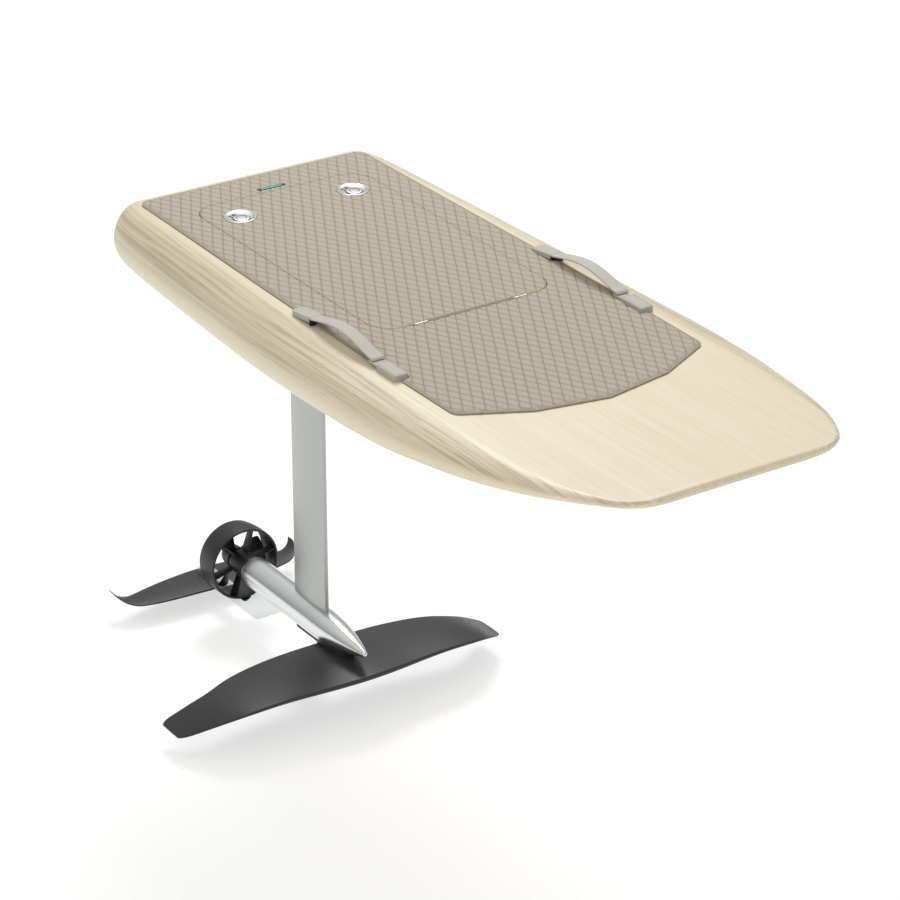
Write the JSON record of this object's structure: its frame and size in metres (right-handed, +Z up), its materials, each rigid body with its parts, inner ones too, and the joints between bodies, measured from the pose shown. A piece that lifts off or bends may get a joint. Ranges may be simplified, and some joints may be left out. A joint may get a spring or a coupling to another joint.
{
  "type": "electric hydrofoil surfboard",
  "caption": "Wood-veneered foil board with a traction pad, a hinged battery hatch and side carry straps, on a mast with an electric ducted propeller pod, front wing and boomed tail wing.",
  "frame": {"origin": "on the centre line at half the board's length, at the level of the water when the board floats with no rider, 38 mm above the flat of the hull's bottom", "axes": "+X to the nose, +Y to port, +Z up from the deck; the mast runs down -Z"},
  "size_m": [2.0082, 0.828, 1.1241],
  "materials": {
    "ash_veneer": "open-grained ash veneer under satin varnish",
    "foam_pad": "embossed closed-cell foam, matte",
    "battery_case": "moulded, matte",
    "seal_rubber": "matte",
    "smoked_lens": "gloss",
    "teal_light": "gloss, lit",
    "satin_steel": "satin",
    "black_moulding": "fibre-filled moulding, fine matte",
    "anchor_rubber": "moulded, matte",
    "strap_webbing": "woven webbing",
    "anodised_aluminium": "satin anodised",
    "bright_aluminium": "bright satin, bead blasted and anodised",
    "carbon_laminate": "matte painted laminate"
  },
  "bodies": {
    "board": {"hull": "ash_veneer", "deck_pad": "foam_pad", "battery": "battery_case", "bay_gasket": "seal_rubber", "status_light": "smoked_lens", "status_bar": "teal_light", "hinge_base_port": "satin_steel", "hinge_base_starboard": "satin_steel", "anchor_rear_port": "anchor_rubber", "anchor_front_port": "anchor_rubber", "strap_port": "strap_webbing", "anchor_rear_starboard": "anchor_rubber", "anchor_front_starboard": "anchor_rubber", "strap_starboard": "strap_webbing", "mast_plate": "black_moulding", "mast_collar": "anodised_aluminium", "mast": "anodised_aluminium", "pod": "bright_aluminium", "stator": "black_moulding", "duct": "black_moulding", "wing_saddle": "black_moulding", "front_wing": "carbon_laminate", "tail_boom": "bright_aluminium", "rear_wing": "carbon_laminate"},
    "hatch": {"hatch_lid": "ash_veneer", "hatch_pad": "foam_pad", "latch_cup_port": "satin_steel", "latch_lever_port": "black_moulding", "latch_cup_starboard": "satin_steel", "latch_lever_starboard": "black_moulding", "hinge_leaf_port": "satin_steel", "hinge_leaf_starboard": "satin_steel"},
    "propeller": {"propeller": "black_moulding", "propeller_nut": "black_moulding"}
  },
  "joints": [
    {"name": "hatch_hinge", "type": "hinge", "parent": "board", "child": "hatch", "pos_m": [0.024, 0, 0.1005], "axis": [0, 1, 0], "range_deg": [0, 95]},
    {"name": "propeller_spin", "type": "hinge", "parent": "board", "child": "propeller", "pos_m": [-0.94395, 0, -0.8759], "axis": [0.9998, 0, 0.0175], "continuous": true}
  ]
}
